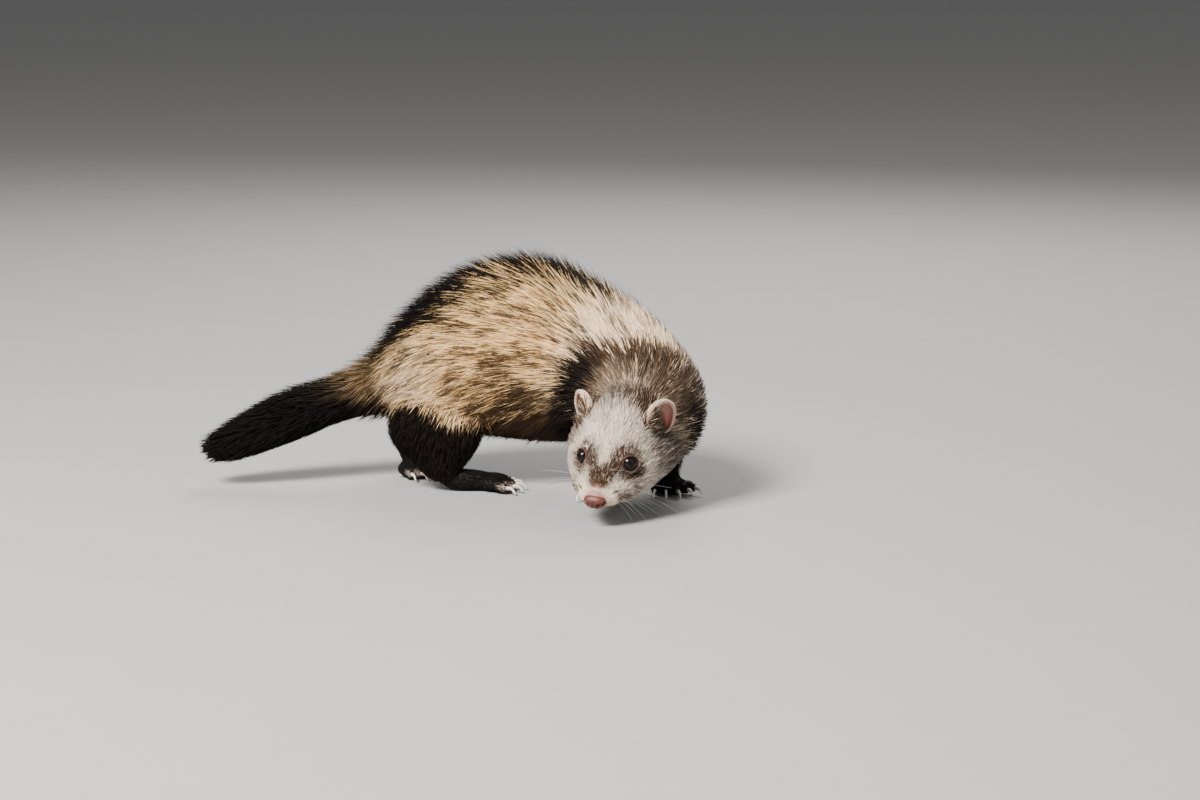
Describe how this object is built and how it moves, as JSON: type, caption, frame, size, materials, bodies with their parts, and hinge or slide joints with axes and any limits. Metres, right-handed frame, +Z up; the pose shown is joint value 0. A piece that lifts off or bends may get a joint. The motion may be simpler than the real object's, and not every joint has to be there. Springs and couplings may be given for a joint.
{
  "type": "ferret",
  "caption": "Life-size standing ferret with an arched back, its head turned down and aside, a thick dark tail held low behind, cream flanks and dark legs",
  "frame": {"origin": "On the floor under the middle of the animal's bounding box, in both directions.", "axes": "+X from the tail towards the shoulders along the longest extent, +Y away from the side that the head faces, +Z up."},
  "size_m": [0.288, 0.1744, 0.1301],
  "materials": {
    "coat_cream": "cream underfur under brown-black guard hairs",
    "coat_sable": "dark brown fur with pale underfur",
    "coat_dark": "near-black fur",
    "face": "short whitish fur with a brown mask",
    "ear_skin": "thin pink skin with short pale fur at the rim",
    "nose_skin": "moist brick-pink skin",
    "eyeball": "wet, nearly black",
    "claw_horn": "ivory, smooth"
  },
  "bodies": {
    "root": {"head": "face", "nose": "nose_skin", "ear_left": "ear_skin", "ear_right": "ear_skin", "eye_left": "eyeball", "eye_right": "eyeball", "neck": "coat_sable", "chest": "coat_cream", "loin": "coat_cream", "rump": "coat_cream", "tail_base": "coat_sable", "tail_tip": "coat_dark", "hind_leg_left": "coat_dark", "hind_paw_left": "coat_dark", "claw_hind_left_1": "claw_horn", "claw_hind_left_2": "claw_horn", "claw_hind_left_3": "claw_horn", "claw_hind_left_4": "claw_horn", "claw_hind_left_5": "claw_horn", "fore_leg_left": "coat_dark", "fore_paw_left": "coat_dark", "claw_fore_left_1": "claw_horn", "claw_fore_left_2": "claw_horn", "claw_fore_left_3": "claw_horn", "claw_fore_left_4": "claw_horn", "claw_fore_left_5": "claw_horn", "hind_leg_right": "coat_dark", "hind_paw_right": "coat_dark", "claw_hind_right_1": "claw_horn", "claw_hind_right_2": "claw_horn", "claw_hind_right_3": "claw_horn", "claw_hind_right_4": "claw_horn", "claw_hind_right_5": "claw_horn", "fore_leg_right": "coat_dark", "fore_paw_right": "coat_dark", "claw_fore_right_1": "claw_horn", "claw_fore_right_2": "claw_horn", "claw_fore_right_3": "claw_horn", "claw_fore_right_4": "claw_horn", "claw_fore_right_5": "claw_horn"}
  },
  "joints": []
}
